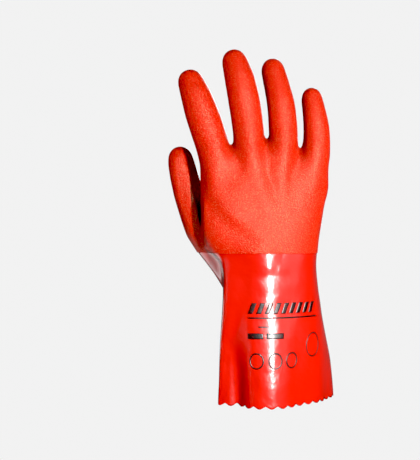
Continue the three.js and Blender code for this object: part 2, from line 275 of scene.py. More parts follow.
# The left edge of palm and cuff, up to which their front stays flat: millimetres across and up,
# how far right of the edge the flat part starts, its slope back towards the edge, and how much of
# the way to that flat the surface goes
LEFT_EDGE = (
    {"x": -39.5, "z": 180, "reach": 10, "slope": 0.2, "share": 0.0},
    {"x": -40.0, "z": 163, "reach": 14, "slope": 0.2, "share": 0.45},
    {"x": -40.0, "z": 140, "reach": 22, "slope": 0.2, "share": 0.55},
    {"x": -39.0, "z": 130, "reach": 24, "slope": 0.2, "share": 0.55},
    {"x": -36.0, "z": 125, "reach": 22, "slope": 0.2, "share": 0.5},
    {"x": -29.0, "z": 121.5, "reach": 18, "slope": 0.2, "share": 0.5},
    {"x": -25.3, "z": 117, "reach": 18, "slope": 0.2, "share": 0.7},
    {"x": -23.3, "z": 106, "reach": 20, "slope": 0.2, "share": 0.85},
    {"x": -24.0, "z": 86, "reach": 20, "slope": 0.2, "share": 0.85},
    {"x": -25.7, "z": 69, "reach": 16, "slope": 0.2, "share": 0.85},
    {"x": -26.9, "z": 53, "reach": 8, "slope": 0.1, "share": 0.9},
    {"x": -27.3, "z": 36, "reach": 7, "slope": 0.0, "share": 1.0},
    {"x": -27.7, "z": 20, "reach": 7, "slope": 0.0, "share": 1.0},
    {"x": -28.1, "z": -14, "reach": 7, "slope": 0.0, "share": 1.0},
)


class GloveSizes(bpy.types.PropertyGroup):
    """Sizes of the glove's own surfaces"""

    voxel: FloatProperty(
        name="Voxel",
        description="Cell size of the skin that joins fingers, palm and cuff",
        default=1.3 * MM,
        unit="LENGTH",
    )
    melt: IntProperty(
        name="Melt",
        description="Rounds of smoothing that melt the frame's facets and creases",
        default=30,
    )
    swell: FloatProperty(
        name="Swell",
        description="How far the melted skin is pushed back out",
        default=0.4 * MM,
        unit="LENGTH",
    )
    hand_wall: FloatProperty(
        name="Hand wall",
        description="Rough coat, base coat and cotton together",
        default=1.7 * MM,
        unit="LENGTH",
    )
    cuff_wall: FloatProperty(
        name="Cuff wall",
        description="Base coat and cotton together",
        default=1.3 * MM,
        unit="LENGTH",
    )
    cuff_spread: FloatProperty(
        name="Cuff spread",
        description="How far the cuff stands out on its right",
        default=1.5 * MM,
        unit="LENGTH",
    )
    coat_step: FloatProperty(
        name="Coat step",
        description="How far the rough coat stands proud of the cuff at the dip line",
        default=0.45 * MM,
        unit="LENGTH",
    )
    ink_film: FloatProperty(
        name="Ink film",
        description="How far the top of the printed ink stands over the cuff",
        default=0.08 * MM,
        unit="LENGTH",
    )


class CuffEdge(bpy.types.PropertyGroup):
    """The wavy cut edge of the cuff"""

    scallops: IntProperty(name="Scallops", description="Waves round the edge", default=29)
    depth: FloatProperty(
        name="Depth",
        description="Height of one wave",
        default=2.3 * MM,
        unit="LENGTH",
    )
    band: FloatProperty(
        name="Band",
        description="Height above which the waves no longer show",
        default=8 * MM,
        unit="LENGTH",
    )
    steps: IntProperty(name="Steps", description="Points to a wave", default=12)
    rings: IntProperty(name="Rings", description="Rings of the cuff's surface", default=80)
    polish: IntProperty(name="Polish", description="Rounds of smoothing", default=10)


class GloveColours(bpy.types.PropertyGroup):
    """Colours of the finishes"""

    rough: FloatVectorProperty(
        name="Rough coat",
        description="Colour of the sand-finish coat",
        default=(0.95, 0.027, 0.012),
        subtype="COLOR",
    )
    # Lighter specks of the sand coat: partly its own grain, partly painted sparkle in place of
    # glints
    sand_speck_and_sparkle: FloatVectorProperty(
        name="Sand specks",
        description="Colour of the grains that catch the light",
        default=(0.98, 0.19, 0.085),
        subtype="COLOR",
    )
    glossy: FloatVectorProperty(
        name="Glossy coat",
        description="Colour of the smooth cuff",
        default=(0.95, 0.024, 0.012),
        subtype="COLOR",
    )
    cotton: FloatVectorProperty(
        name="Cotton",
        description="Colour of the lining",
        default=(0.83, 0.79, 0.70),
        subtype="COLOR",
    )
    ink: FloatVectorProperty(
        name="Ink",
        description="Colour of the printed marks",
        default=(0.012, 0.008, 0.008),
        subtype="COLOR",
    )


class Studio(bpy.types.PropertyGroup):
    """Camera, lights and backdrop"""

    camera_at: FloatVectorProperty(
        name="Camera",
        description="Place of the camera",
        default=(-0.0343, -0.8005, 0.143),
        subtype="TRANSLATION",
    )
    lens: FloatProperty(name="Lens", description="Focal length in millimetres", default=74.5)
    key_power: FloatProperty(
        name="Key", description="Power of the key light", default=22.5, unit="POWER"
    )
    side_power: FloatProperty(
        name="Side", description="Power of the light on the right", default=9.0, unit="POWER"
    )
    left_power: FloatProperty(
        name="Left", description="Power of the light on the left", default=6.5, unit="POWER"
    )
    back_power: FloatProperty(
        name="Back", description="Power of the light behind on the left", default=0.6, unit="POWER"
    )
    rear_power: FloatProperty(
        name="Rear", description="Power of the soft light behind", default=26.0, unit="POWER"
    )
    rear_strip_power: FloatProperty(
        name="Rear strip",
        description="Power of the strip behind that the cuff mirrors",
        default=4.0,
        unit="POWER",
    )
    strip_power: FloatProperty(
        name="Strip",
        description="Power of the strip that the cuff mirrors",
        default=28.0,
        unit="POWER",
    )
    crown_power: FloatProperty(
        name="Crown",
        description="Power of the light that the hand mirrors",
        default=22.0,
        unit="POWER",
    )
    card_power: FloatProperty(
        name="Card",
        description="Power of the small card that the thumb's base mirrors",
        default=0.048,
        unit="POWER",
    )
    black: FloatProperty(
        name="Black level",
        description="Brightness that the picture shows as black",
        default=0.02,
    )
    backdrop: FloatProperty(
        name="Backdrop", description="Brightness of the floor and backdrop", default=0.889
    )


# Turns a bmesh into a shown piece that rides on the glove's one body and replaces its nodes, if any
def piece(name, form, materials, slot, *replaced):
    mesh = bpy.data.meshes.new(name)
    form.to_mesh(mesh)
    form.free()
    mesh.shade_smooth()
    shown = bpy.data.objects.new(name, mesh)
    bpy.context.scene.collection.objects.link(shown)
    for material in materials:
        mesh.materials.append(material)
    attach(shown, "root")
    if replaced:
        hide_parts(*replaced)
    return shown


# A value held between 0 and 1
def clamp(value):
    return min(max(value, 0), 1)


# The values of some columns, part of the way from one row of a table to the next
def between(start, end, share, *columns):
    return [start[column] + (end[column] - start[column]) * share for column in columns]


# The new vertices among what an operator made
def new_verts(made):
    return [part for part in made["geom"] if isinstance(part, bmesh.types.BMVert)]


# Takes away all of a form that lies below a height
def cut_below(form, z):
    bmesh.ops.bisect_plane(
        form,
        geom=form.verts[:] + form.edges[:] + form.faces[:],
        plane_co=(0, 0, z),
        plane_no=(0, 0, -1),
        clear_outer=True,
    )


# Smooths some of a form's vertices
def smooth(form, verts, rounds):
    for _ in range(rounds):
        bmesh.ops.smooth_vert(
            form, verts=verts, factor=0.5, use_axis_x=True, use_axis_y=True, use_axis_z=True
        )


# Keeps only the faces that hang together with one vertex
def keep_island(form, start):
    reached = {start}
    waiting = [start]
    while waiting:
        for edge in waiting.pop().link_edges:
            for vert in edge.verts:
                if vert not in reached:
                    reached.add(vert)
                    waiting.append(vert)
    others = [vert for vert in form.verts if vert not in reached]
    bmesh.ops.delete(form, geom=others, context="VERTS")


# The outer skin of a hollow node, closed to a solid, its foot let down into what is below it
def closed_skin(node, drop, low=None):
    skin = bmesh.new()
    skin.from_mesh(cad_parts[node].data)
    bmesh.ops.remove_doubles(skin, verts=skin.verts[:], dist=MERGE)
    if low:
        cut_below(skin, low)
    flat_ends = []
    for face in skin.faces:
        heights = [vert.co.z for vert in face.verts]
        level = sum(heights) / len(heights)
        if max(heights) - min(heights) < MERGE:
            if any(abs(level - seam) < MERGE for seam in SEAM_LEVELS):
                flat_ends.append(face)
    bmesh.ops.delete(skin, geom=flat_ends, context="FACES")
    lowest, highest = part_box(node)
    middle = (lowest + highest) / 2
    keep_island(skin, max(skin.verts, key=lambda vert: (vert.co - middle).length))
    ground = min(vert.co.z for vert in skin.verts) + MERGE
    foot = [edge for edge in skin.edges if edge.is_boundary and edge.verts[0].co.z < ground]
    grown = bmesh.ops.extrude_edge_only(skin, edges=foot)
    bmesh.ops.translate(skin, verts=new_verts(grown), vec=(0, 0, -drop))
    open_edges = [edge for edge in skin.edges if edge.is_boundary]
    bmesh.ops.holes_fill(skin, edges=open_edges, sides=0)
    mesh = bpy.data.meshes.new(node + "_skin")
    skin.to_mesh(mesh)
    skin.free()
    return mesh


# One even, smoothed skin of small quads round all that a form holds
def even_skin(form, voxel, rounds):
    mesh = bpy.data.meshes.new("glove_form")
    form.to_mesh(mesh)
    form.free()
    carrier = bpy.data.objects.new("carrier", mesh)
    bpy.context.scene.collection.objects.link(carrier)
    cells = carrier.modifiers.new("Cells", "REMESH")
    cells.mode = "VOXEL"
    cells.voxel_size = voxel
    depsgraph = bpy.context.evaluated_depsgraph_get()
    skin = bmesh.new()
    skin.from_mesh(bpy.data.meshes.new_from_object(carrier.evaluated_get(depsgraph)))
    bpy.data.objects.remove(carrier)
    smooth(skin, skin.verts[:], rounds)
    return skin


# How far a front form lifts a point, and 0 far from its path
def lift(path, x, z):
    best = 0.0
    nearest = math.inf
    for start, end in zip(path, path[1:]):
        along = Vector((end["x"] - start["x"], end["z"] - start["z"]))
        from_start = Vector((x - start["x"], z - start["z"]))
        share = clamp(from_start.dot(along) / along.length_squared)
        away = (from_start - along * share).length
        width, rise = between(start, end, share, "width", "rise")
        if away / width < nearest:
            nearest = away / width
            best = rise * math.exp(-nearest**2)
    return best


# How far the surface is set back left of a step, and 0 above where the step begins
def set_back(path, x, z):
    for high, low in zip(path, path[1:]):
        if low["z"] <= z < high["z"]:
            share = (high["z"] - z) / (high["z"] - low["z"])
            at, rise, width = between(high, low, share, "x", "rise", "width")
            return rise * (1 - math.tanh((x - at) / width)) / 2
    return 0.0


# Presses the valleys and swellings into the side that faces the front
def press_front_forms(form):
    form.normal_update()
    for vert in form.verts:
        facing = clamp(-vert.normal.y * FACING_GAIN)
        if facing > 0:
            x, z = vert.co.x / MM, vert.co.z / MM
            rise = sum(lift(path, x, z) for path in FRONT_FORMS.values())
            rise -= sum(set_back(path, x, z) for path in FRONT_STEPS.values())
            vert.co.y -= rise * MM * facing


# Depth of the front surface round a point seen from the front, in metres
def front_depth(verts, x, z):
    near = [
        vert.co.y
        for vert in verts
        if vert.normal.y < 0
        and abs(vert.co.x / MM - x) < PATCH_ACROSS
        and abs(vert.co.z / MM - z) < PATCH_UP
    ]
    return sum(near) / len(near)


# Brings the front of palm and cuff forward, flat up to their left edge
def square_left_edge(form):
    front = [vert for vert in form.verts if vert.normal.y < 0 and vert.co.x < 0]
    depths = [
        front_depth(front, row["x"] + row["reach"], max(row["z"], LOWEST_PATCH))
        for row in LEFT_EDGE
    ]
    for high, low, upper, lower in zip(LEFT_EDGE, LEFT_EDGE[1:], depths, depths[1:]):
        for vert in front:
            x, z = vert.co.x / MM, vert.co.z / MM
            if low["z"] <= z < high["z"]:
                down = (high["z"] - z) / (high["z"] - low["z"])
                edge, reach, slope, share = between(
                    high, low, down, "x", "reach", "slope", "share"
                )
                flat = upper + (lower - upper) * down + (edge + reach - x) * slope * MM
                if edge < x < edge + reach and vert.co.y > flat:
                    vert.co.y += (flat - vert.co.y) * share


# Spreads the cuff to its right, more and more below the dip line
def spread_cuff(form, spread):
    form.normal_update()
    for vert in form.verts:
        below = clamp((DIP_LINE - SPREAD_START - vert.co.z) / SPREAD_FADE)
        vert.co.x += spread * max(vert.normal.x, 0) * below


# Presses the thumb's inner side flat, behind the edge where its face ends, but never so far that
# less than the spare depth is left between it and the back
def flatten_thumb_side(form):
    form.normal_update()
    side = THUMB_SIDE
    spare = side["spare"] * MM
    thumb = [
        vert
        for vert in form.verts
        if vert.co.x < side["left_of"] * MM
        and vert.co.y > side["behind"] * MM
        and vert.co.z < side["below"] * MM
    ]
    depths = [front_depth(thumb, row["x"], row["z"]) for row in THUMB_EDGE]
    smooth(form, thumb, side["rounds_before"])
    tree = BVHTree.FromBMesh(form)
    moved = []
    for low, high, near, far in zip(THUMB_EDGE, THUMB_EDGE[1:], depths, depths[1:]):
        for vert in thumb:
            x, z = vert.co.x / MM, vert.co.z / MM
            if low["z"] <= z < high["z"]:
                share = (z - low["z"]) / (high["z"] - low["z"])
                beyond = x - low["x"] - (high["x"] - low["x"]) * share
                flat = near + (far - near) * share + beyond * side["slope"] * MM
                if 0 < beyond < side["reach"] and vert.co.y < flat:
                    behind = Vector((vert.co.x, OUTSIDE_GLOVE, vert.co.z))
                    back = tree.ray_cast(behind, FORWARD)[0]
                    if back and vert.co.y < back.y - spare:
                        vert.co.y = min(flat, back.y - spare)
                        moved.append(vert)
    smooth(form, moved, side["rounds_after"])


# The whole glove's outer form as one soft skin, closed below the cuff
@functools.cache
def glove_form():
    sizes = bpy.context.scene.glove_sizes
    form = bmesh.new()
    for node in HAND_NODES:
        form.from_mesh(closed_skin(node, HAND_DROP))
    form.from_mesh(closed_skin("gauntlet_cuff", CUFF_DROP, low=CUFF_CUT))
    form = even_skin(form, sizes.voxel, sizes.melt)
    form.normal_update()
    for vert in form.verts:
        vert.co += vert.normal * sizes.swell
    form.normal_update()
    square_left_edge(form)
    form = even_skin(form, sizes.voxel, SQUARED_ROUNDS)
    press_front_forms(form)
    spread_cuff(form, sizes.cuff_spread)
    flatten_thumb_side(form)
    smooth(form, form.verts[:], LAST_ROUNDS)
    form.normal_update()
    return form


# Gives a piece its wall, inwards, with its second material on the inner face
def wall(shown, thickness):
    solidify = shown.modifiers.new("Wall", "SOLIDIFY")
    solidify.thickness = thickness
    solidify.offset = -1
    solidify.material_offset = 1
    solidify.material_offset_rim = 0


class GLOVE_OT_hand(bpy.types.Operator):
    """Makes the rough coated hand, from the dip line to the fingertips"""

    bl_idname = "glove.hand"
    bl_label = "Coated Hand"

    def execute(self, context):
        sizes = context.scene.glove_sizes
        form = glove_form().copy()
        cut_below(form, DIP_LINE)
        form.normal_update()
        for vert in form.verts:
            vert.co += vert.normal * sizes.coat_step / 2
        rim = [edge for edge in form.edges if edge.is_boundary]
        grown = bmesh.ops.extrude_edge_only(form, edges=rim)
        form.normal_update()
        for vert in new_verts(grown):
            inward = Vector((vert.normal.x, vert.normal.y, 0)).normalized()
            vert.co -= inward * sizes.coat_step * RIM_TUCK
            vert.co.z = DIP_LINE - RIM_DROP
        shown = piece(
            "rough_hand", form, [rough_coat(), cotton_knit()], "rough_coat", *HAND_NODES
        )
        wall(shown, sizes.hand_wall)
        return {"FINISHED"}


# Middle of the cuff by height, from which its surface is seen all round
def cuff_middle(z):
    share = z / DIP_LINE
    x = CUFF_MIDDLE["x"] + CUFF_SHIFT["x"] * share
    y = CUFF_MIDDLE["y"] + CUFF_SHIFT["y"] * share
    return Vector((x, y, 0)) * MM + Vector((0, 0, z))


# Where the glove's surface lies in one direction from the cuff's middle
def cuff_point(tree, z, angle):
    out = Vector((math.cos(angle), math.sin(angle), 0))
    hit = tree.ray_cast(cuff_middle(z) + out * OUTSIDE_CUFF, -out)[0]
    if hit is None:
        raise RuntimeError(f"no surface at height {z}")
    return hit


# Angles in equal steps along the cut edge, the first at a scallop's tip of the frame
def edge_angles(tree, edge):
    samples = 1440
    height = 3 * MM
    ring = [cuff_point(tree, height, math.tau * i / samples) for i in range(samples + 1)]
    lengths = [0.0]
    for before, after in zip(ring, ring[1:]):
        lengths.append(lengths[-1] + (after - before).length)
    around = lengths[-1]
    pitch = around / edge.scallops
    turn = Vector((0, 0))
    middle = cuff_middle(0)
    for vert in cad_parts["gauntlet_cuff"].data.vertices:
        if vert.co.z < MERGE:
            angle = math.atan2(vert.co.y - middle.y, vert.co.x - middle.x) % math.tau
            at = lengths[int(angle / math.tau * samples)] / pitch * math.tau
            turn += Vector((math.cos(at), math.sin(at)))
    phase = math.atan2(turn.y, turn.x) / math.tau * pitch
    count = edge.scallops * edge.steps
    angles = []
    i = 0
    for k in range(count):
        target = (phase % pitch) + around * k / count
        target = target - around if target >= around else target
        if target < lengths[i]:
            i = 0
        while lengths[i + 1] < target:
            i += 1
        share = (target - lengths[i]) / (lengths[i + 1] - lengths[i])
        angles.append(math.tau * (i + share) / samples)
    return angles


# Height of the cut edge over the lowest tip, for a share of one wave; the notches are sharper
def wave(share):
    soft = (1 - math.cos(math.tau * share)) / 2
    sharp = 1 - abs(math.cos(math.pi * share))
    return (soft + sharp) / 2


class GLOVE_OT_cuff(bpy.types.Operator):
    """Makes the glossy cuff, ring by ring, from its wavy cut edge up to under the hand's coat"""

    bl_idname = "glove.cuff"
    bl_label = "Glossy Cuff"

    def execute(self, context):
        sizes = context.scene.glove_sizes
        edge = context.scene.cuff_edge
        tree = BVHTree.FromBMesh(glove_form())
        angles = edge_angles(tree, edge)
        top = DIP_LINE + CUFF_TUCK
        form = bmesh.new()
        bmesh.ops.create_circle(form, segments=len(angles), radius=1)
        ring = form.verts[:]
        edges = form.edges[:]
        rings = []
        for k in range(edge.rings + 1):
            z = top * k / edge.rings
            for vert, angle in zip(ring, angles):
                vert.co = cuff_point(tree, max(z, LOWEST_RING), angle)
                vert.co.z = z
            rings.append(ring)
            if k < edge.rings:
                grown = bmesh.ops.extrude_edge_only(form, edges=edges)["geom"]
                edges = [
                    part
                    for part in grown
                    if isinstance(part, bmesh.types.BMEdge) and part.is_boundary
                ]
                fresh = set(grown)
                ring = [
                    next(
                        side.other_vert(old)
                        for side in old.link_edges
                        if side.other_vert(old) in fresh
                    )
                    for old in ring
                ]
        inner = [vert for ring in rings[1:-1] for vert in ring]
        smooth(form, inner, edge.polish)
        form.normal_update()
        bmesh.ops.recalc_face_normals(form, faces=form.faces[:])
        form.normal_update()
        for vert in form.verts:
            vert.co -= vert.normal * sizes.coat_step / 2
        for ring in rings:
            for i, vert in enumerate(ring):
                fade = 1 - clamp(vert.co.z / edge.band)
                vert.co.z = max(vert.co.z, 0) + edge.depth * wave(i / edge.steps) * fade
        shown = piece(
            "glossy_cuff", form, [glossy_coat(), cotton_knit()], "glossy_coat", "gauntlet_cuff"
        )
        wall(shown, sizes.cuff_wall)
        return {"FINISHED"}


# Plain printed marks on the cuff, in millimetres along its surface from PRINT_START and up
PRINT_START = -4
PRINT_STRIPES = {"count": 9, "pitch": 6.9, "wide": 4.0, "low": 75.6, "high": 84.2, "lean": 0.4}
PRINT_BARS = (
    {"left": 0, "right": 66, "low": 71.6, "high": 72.8},
    {"left": 9, "right": 17, "low": 64.6, "high": 65.6},
    {"left": 0, "right": 13, "low": 55.5, "high": 60.0},
    {"left": 15.5, "right": 30, "low": 55.5, "high": 60.0},
)
PRINT_RINGS = (
    {"middle": 7.5, "up": 38, "across": 6.0, "tall": 6.5, "line": 1.1},
    {"middle": 23.0, "up": 38, "across": 6.0, "tall": 6.5, "line": 1.1},
    {"middle": 38.5, "up": 38, "across": 6.0, "tall": 6.5, "line": 1.1},
    {"middle": 62.0, "up": 49, "across": 8.0, "tall": 10.0, "line": 0.9},
)
RING_SEGMENTS = 64

# Distance between the points at which the cuff's front is measured for the print, and their number
TRACK_STEP = 0.5 * MM
TRACK_POINTS = 140


# A flat bar, of squares about a millimetre wide
def flat_bar(form, row):
    wide = row["right"] - row["left"]
    tall = row["high"] - row["low"]
    made = bmesh.ops.create_grid(
        form, x_segments=math.ceil(wide), y_segments=math.ceil(tall), size=0.5
    )["verts"]
    bmesh.ops.scale(form, verts=made, vec=(wide, tall, 1))
    middle = (row["left"] + wide / 2, row["low"] + tall / 2, 0)
    bmesh.ops.translate(form, verts=made, vec=middle)
    return made


# A row of slanting flat stripes
def flat_stripes(form, row):
    for k in range(row["count"]):
        left = k * row["pitch"]
        right = left + row["wide"]
        stripe = {"left": left, "right": right, "low": row["low"], "high": row["high"]}
        for vert in flat_bar(form, stripe):
            vert.co.x += (vert.co.y - row["low"]) * row["lean"]


# A flat ring, oval where it is taller than across
def flat_ring(form, row):
    outer = bmesh.ops.create_circle(form, segments=RING_SEGMENTS, radius=1)["verts"]
    edges = list({edge for vert in outer for edge in vert.link_edges})
    inner = new_verts(bmesh.ops.extrude_edge_only(form, edges=edges))
    across, tall, line = row["across"], row["tall"], row["line"]
    bmesh.ops.scale(form, verts=outer, vec=(across, tall, 1))
    bmesh.ops.scale(form, verts=inner, vec=(across - line, tall - line, 1))
    bmesh.ops.translate(form, verts=outer + inner, vec=(row["middle"], row["up"], 0))


# Points of the cuff's front at one height, with their distances along the surface
def surface_track(tree, z):
    track = []
    for k in range(TRACK_POINTS):
        start = Vector((PRINT_START * MM + k * TRACK_STEP, -OUTSIDE_GLOVE, z))
        hit = tree.ray_cast(start, BACKWARD)[0]
        if hit is None:
            break
        before = track[-1] if track else {"along": 0.0, "at": hit}
        track.append({"along": before["along"] + (hit - before["at"]).length, "at": hit})
    return track


# Lays flat marks onto the cuff: their first measure runs along the surface, their second is height
def wrap_on_cuff(form, tree, lift_off):
    tracks = {}
    for vert in form.verts:
        along, z = vert.co.x * MM, vert.co.y * MM
        level = round(z / TRACK_STEP)
        if level not in tracks:
            tracks[level] = surface_track(tree, level * TRACK_STEP)
        track = tracks[level]
        k = max(bisect.bisect_left(track, along, key=lambda point: point["along"]), 1)
        before, after = track[k - 1], track[k]
        share = (along - before["along"]) / (after["along"] - before["along"])
        near = before["at"].lerp(after["at"], share)
        hit, normal, *_ = tree.find_nearest(Vector((near.x, near.y, z)))
        vert.co = hit + normal * lift_off
    form.normal_update()
    for face in form.faces:
        if face.normal.y > 0:
            face.normal_flip()


class GLOVE_OT_print(bpy.types.Operator):
    """Makes the plain printed stripes, bars and rings on the cuff, as a thin film of ink"""

    bl_idname = "glove.print"
    bl_label = "Printed Marks"

    def execute(self, context):
        sizes = context.scene.glove_sizes
        cuff = bmesh.new()
        cuff.from_mesh(bpy.data.objects["glossy_cuff"].data)
        tree = BVHTree.FromBMesh(cuff)
        cuff.free()
        form = bmesh.new()
        flat_stripes(form, PRINT_STRIPES)
        for row in PRINT_BARS:
            flat_bar(form, row)
        for row in PRINT_RINGS:
            flat_ring(form, row)
        wrap_on_cuff(form, tree, sizes.ink_film)
        shown = piece("printed_marks", form, [ink()], "print_ink")
        film = shown.modifiers.new("Film", "SOLIDIFY")
        film.thickness = sizes.ink_film / 2
        film.offset = -1
        return {"FINISHED"}


# Fine grain of a surface: bumps of one size broken up by noise, and a mask of the specks on top
@functools.cache
def grain_group():
    group = bpy.data.node_groups.new("Surface Grain", "ShaderNodeTree")
    sockets = group.interface
    sockets.new_socket("Vector", in_out="INPUT", socket_type="NodeSocketVector")
    sockets.new_socket("Scale", in_out="INPUT", socket_type="NodeSocketFloat")
    sockets.new_socket("Speck Level", in_out="INPUT", socket_type="NodeSocketFloat")
    sockets.new_socket("Height", in_out="OUTPUT", socket_type="NodeSocketFloat")
    sockets.new_socket("Specks", in_out="OUTPUT", socket_type="NodeSocketFloat")
    nodes, links = group.nodes, group.links
    start = nodes.new("NodeGroupInput")
    end = nodes.new("NodeGroupOutput")
    cells = nodes.new("ShaderNodeTexVoronoi")
    cells.feature = "SMOOTH_F1"
    cells.inputs["Smoothness"].default_value = 0.6
    fine = nodes.new("ShaderNodeTexNoise")
    fine.inputs["Detail"].default_value = 3.0
    fine.inputs["Roughness"].default_value = 0.6
    height = nodes.new("ShaderNodeMath")
    height.operation = "SUBTRACT"
    specks = nodes.new("ShaderNodeMapRange")
    specks.inputs["From Max"].default_value = 0.75
    for texture in (cells, fine):
        links.new(start.outputs["Vector"], texture.inputs["Vector"])
        links.new(start.outputs["Scale"], texture.inputs["Scale"])
    links.new(fine.outputs["Fac"], height.inputs[0])
    links.new(cells.outputs["Distance"], height.inputs[1])
    links.new(fine.outputs["Fac"], specks.inputs["Value"])
    links.new(start.outputs["Speck Level"], specks.inputs["From Min"])
    links.new(height.outputs["Value"], end.inputs["Height"])
    links.new(specks.outputs["Result"], end.inputs["Specks"])
    return group


# A new material with the grain's bump: the material, its node tree, its Principled shader and the
# mask of its specks
def grained_material(name, scale, speck_level, strength, distance):
    material = bpy.data.materials.new(name)
    material.use_nodes = True
    tree = material.node_tree
    shader = tree.nodes["Principled BSDF"]
    where = tree.nodes.new("ShaderNodeTexCoord")
    grain = tree.nodes.new("ShaderNodeGroup")
    grain.node_tree = grain_group()
    grain.inputs["Scale"].default_value = scale
    grain.inputs["Speck Level"].default_value = speck_level
    relief = tree.nodes.new("ShaderNodeBump")
    relief.inputs["Strength"].default_value = strength
    relief.inputs["Distance"].default_value = distance
    tree.links.new(where.outputs["Object"], grain.inputs["Vector"])
    tree.links.new(grain.outputs["Height"], relief.inputs["Height"])
    tree.links.new(relief.outputs["Normal"], shader.inputs["Normal"])
    return material, tree, shader, grain.outputs["Specks"]


# Gives a material one colour and its specks another
def speckle(tree, shader, specks, ground, speck):
    mix = tree.nodes.new("ShaderNodeMix")
    mix.data_type = "RGBA"
    mix.inputs["A"].default_value = (*ground, 1)
    mix.inputs["B"].default_value = (*speck, 1)
    tree.links.new(specks, mix.inputs["Factor"])
    tree.links.new(mix.outputs["Result"], shader.inputs["Base Color"])


# The hand's matt, sandy coat; its lighter specks are partly the sand's grain and partly painted
# sparkle
@functools.cache
def rough_coat():
    colours = bpy.context.scene.glove_colours
    material, tree, shader, specks = grained_material(
        "Rough Coat", scale=950.0, speck_level=0.5, strength=1.0, distance=0.34 * MM
    )
    # Painted sparkle: the lighter speck colour stands in for glints, on top of the sand's grain
    speckle(tree, shader, specks, colours.rough, colours.sand_speck_and_sparkle)
    shader.inputs["Roughness"].default_value = 0.34
    shader.inputs["Specular IOR Level"].default_value = 0.25
    shader.inputs["Specular Tint"].default_value = (1, 0.82, 0.57, 1)
    return material


# The cuff's smooth, glossy coat, with slow waves in it
@functools.cache
def glossy_coat():
    colours = bpy.context.scene.glove_colours
    material, _, shader, _ = grained_material(
        "Glossy Coat", scale=75.0, speck_level=0.5, strength=0.6, distance=1.1 * MM
    )
    shader.inputs["Base Color"].default_value = (*colours.glossy, 1)
    shader.inputs["Roughness"].default_value = 0.26
    shader.inputs["Coat Weight"].default_value = 0.6
    shader.inputs["Coat Roughness"].default_value = 0.15
    return material


# Printed ink, through whose worn specks half of the coat's colour shows
@functools.cache
def ink():
    colours = bpy.context.scene.glove_colours
    material, tree, shader, specks = grained_material(
        "Print Ink", scale=1400.0, speck_level=0.55, strength=0.1, distance=0.1 * MM
    )
    worn = [(value + coat) / 2 for value, coat in zip(colours.ink, colours.glossy)]
    speckle(tree, shader, specks, colours.ink, worn)
    shader.inputs["Roughness"].default_value = 0.4
    shader.inputs["Coat Weight"].default_value = 0.35
    shader.inputs["Coat Roughness"].default_value = 0.2
    return material


# The lining's cotton, with painted shade darkening it between its stitches
@functools.cache
def cotton_knit():
    colours = bpy.context.scene.glove_colours
    material, tree, shader, specks = grained_material(
        "Cotton Knit", scale=900.0, speck_level=0.5, strength=0.6, distance=0.4 * MM
    )
    # Painted shade: the ground between the specks is darkened to stand for shade between the
    # stitches
    painted_stitch_shade = 0.7
    speckle(tree, shader, specks, [painted_stitch_shade * value for value in colours.cotton], colours.cotton)
    shader.inputs["Roughness"].default_value = 0.95
    shader.inputs["Sheen Weight"].default_value = 0.3
    return material


# Lights by direction from what they light, in degrees, turned clockwise from the front as seen
# from above, with their distances and sizes in metres; each is seen by the diffuse or by the
# glossy side alone, and the light of a diffuse one doesn't bounce on
GLOVE_MIDDLE = (0, 0, 0.14)
THUMB_BASE = (-0.032, 0.003, 0.112)
LIGHTS = (
    {"name": "key", "aim": GLOVE_MIDDLE, "turn": 19.5, "rise": -4, "away": 1.25,
     "width": 0.05, "height": 0.35, "gloss": False},
    {"name": "side", "aim": GLOVE_MIDDLE, "turn": 62, "rise": 0, "away": 1.25,
     "width": 0.4, "height": 0.8, "gloss": False},
    {"name": "left", "aim": GLOVE_MIDDLE, "turn": -60, "rise": 0, "away": 1.25,
     "width": 0.4, "height": 0.8, "gloss": False},
    {"name": "back", "aim": GLOVE_MIDDLE, "turn": -140, "rise": 0, "away": 1.25,
     "width": 0.5, "height": 0.8, "gloss": False},
    {"name": "rear", "aim": GLOVE_MIDDLE, "turn": 180, "rise": 20, "away": 1.25,
     "width": 0.6, "height": 0.8, "gloss": False},
    {"name": "rear_strip", "aim": GLOVE_MIDDLE, "turn": 168, "rise": 12, "away": 1.25,
     "width": 0.12, "height": 0.6, "gloss": True},
    {"name": "strip", "aim": GLOVE_MIDDLE, "turn": 24, "rise": 9, "away": 1.25,
     "width": 0.13, "height": 0.5, "gloss": True},
    {"name": "crown", "aim": GLOVE_MIDDLE, "turn": 11, "rise": 24, "away": 1.25,
     "width": 0.3, "height": 0.2, "gloss": True},
    {"name": "card", "aim": THUMB_BASE, "turn": -122, "rise": -23, "away": 0.15,
     "width": 0.14, "height": 0.06, "gloss": True},
)


# A soft lamp, placed and sized as its row says
def softbox(row, power):
    light = bpy.data.lights.new(row["name"], "AREA")
    light.shape = "RECTANGLE"
    light.size = row["width"]
    light.size_y = row["height"]
    light.energy = power
    if not row["gloss"]:
        light.cycles.max_bounces = 0
    lamp = bpy.data.objects.new(row["name"], light)
    turn, rise = math.radians(row["turn"]), math.radians(row["rise"])
    across = math.cos(rise)
    away = Vector((math.sin(turn) * across, -math.cos(turn) * across, math.sin(rise)))
    lamp.location = Vector(row["aim"]) + away * row["away"]
    lamp.rotation_euler = away.to_track_quat("Z", "Y").to_euler()
    lamp.visible_glossy = row["gloss"]
    lamp.visible_diffuse = not row["gloss"]
    lamp.visible_camera = False
    bpy.context.scene.collection.objects.link(lamp)


# How bright the bowl is to the glove, by direction round it in degrees from the front, clockwise
# seen from above: dim all round but for behind on the right
SURROUNDINGS = (
    {"turn": -180, "glow": 0.05},
    {"turn": 95, "glow": 0.03},
    {"turn": 135, "glow": 0.1},
    {"turn": 160, "glow": 0.2},
    {"turn": 172, "glow": 0.2},
    {"turn": 180, "glow": 0.05},
)

# How much of that brightness the bowl gives as a light
BOWL_LIGHT = 0.01

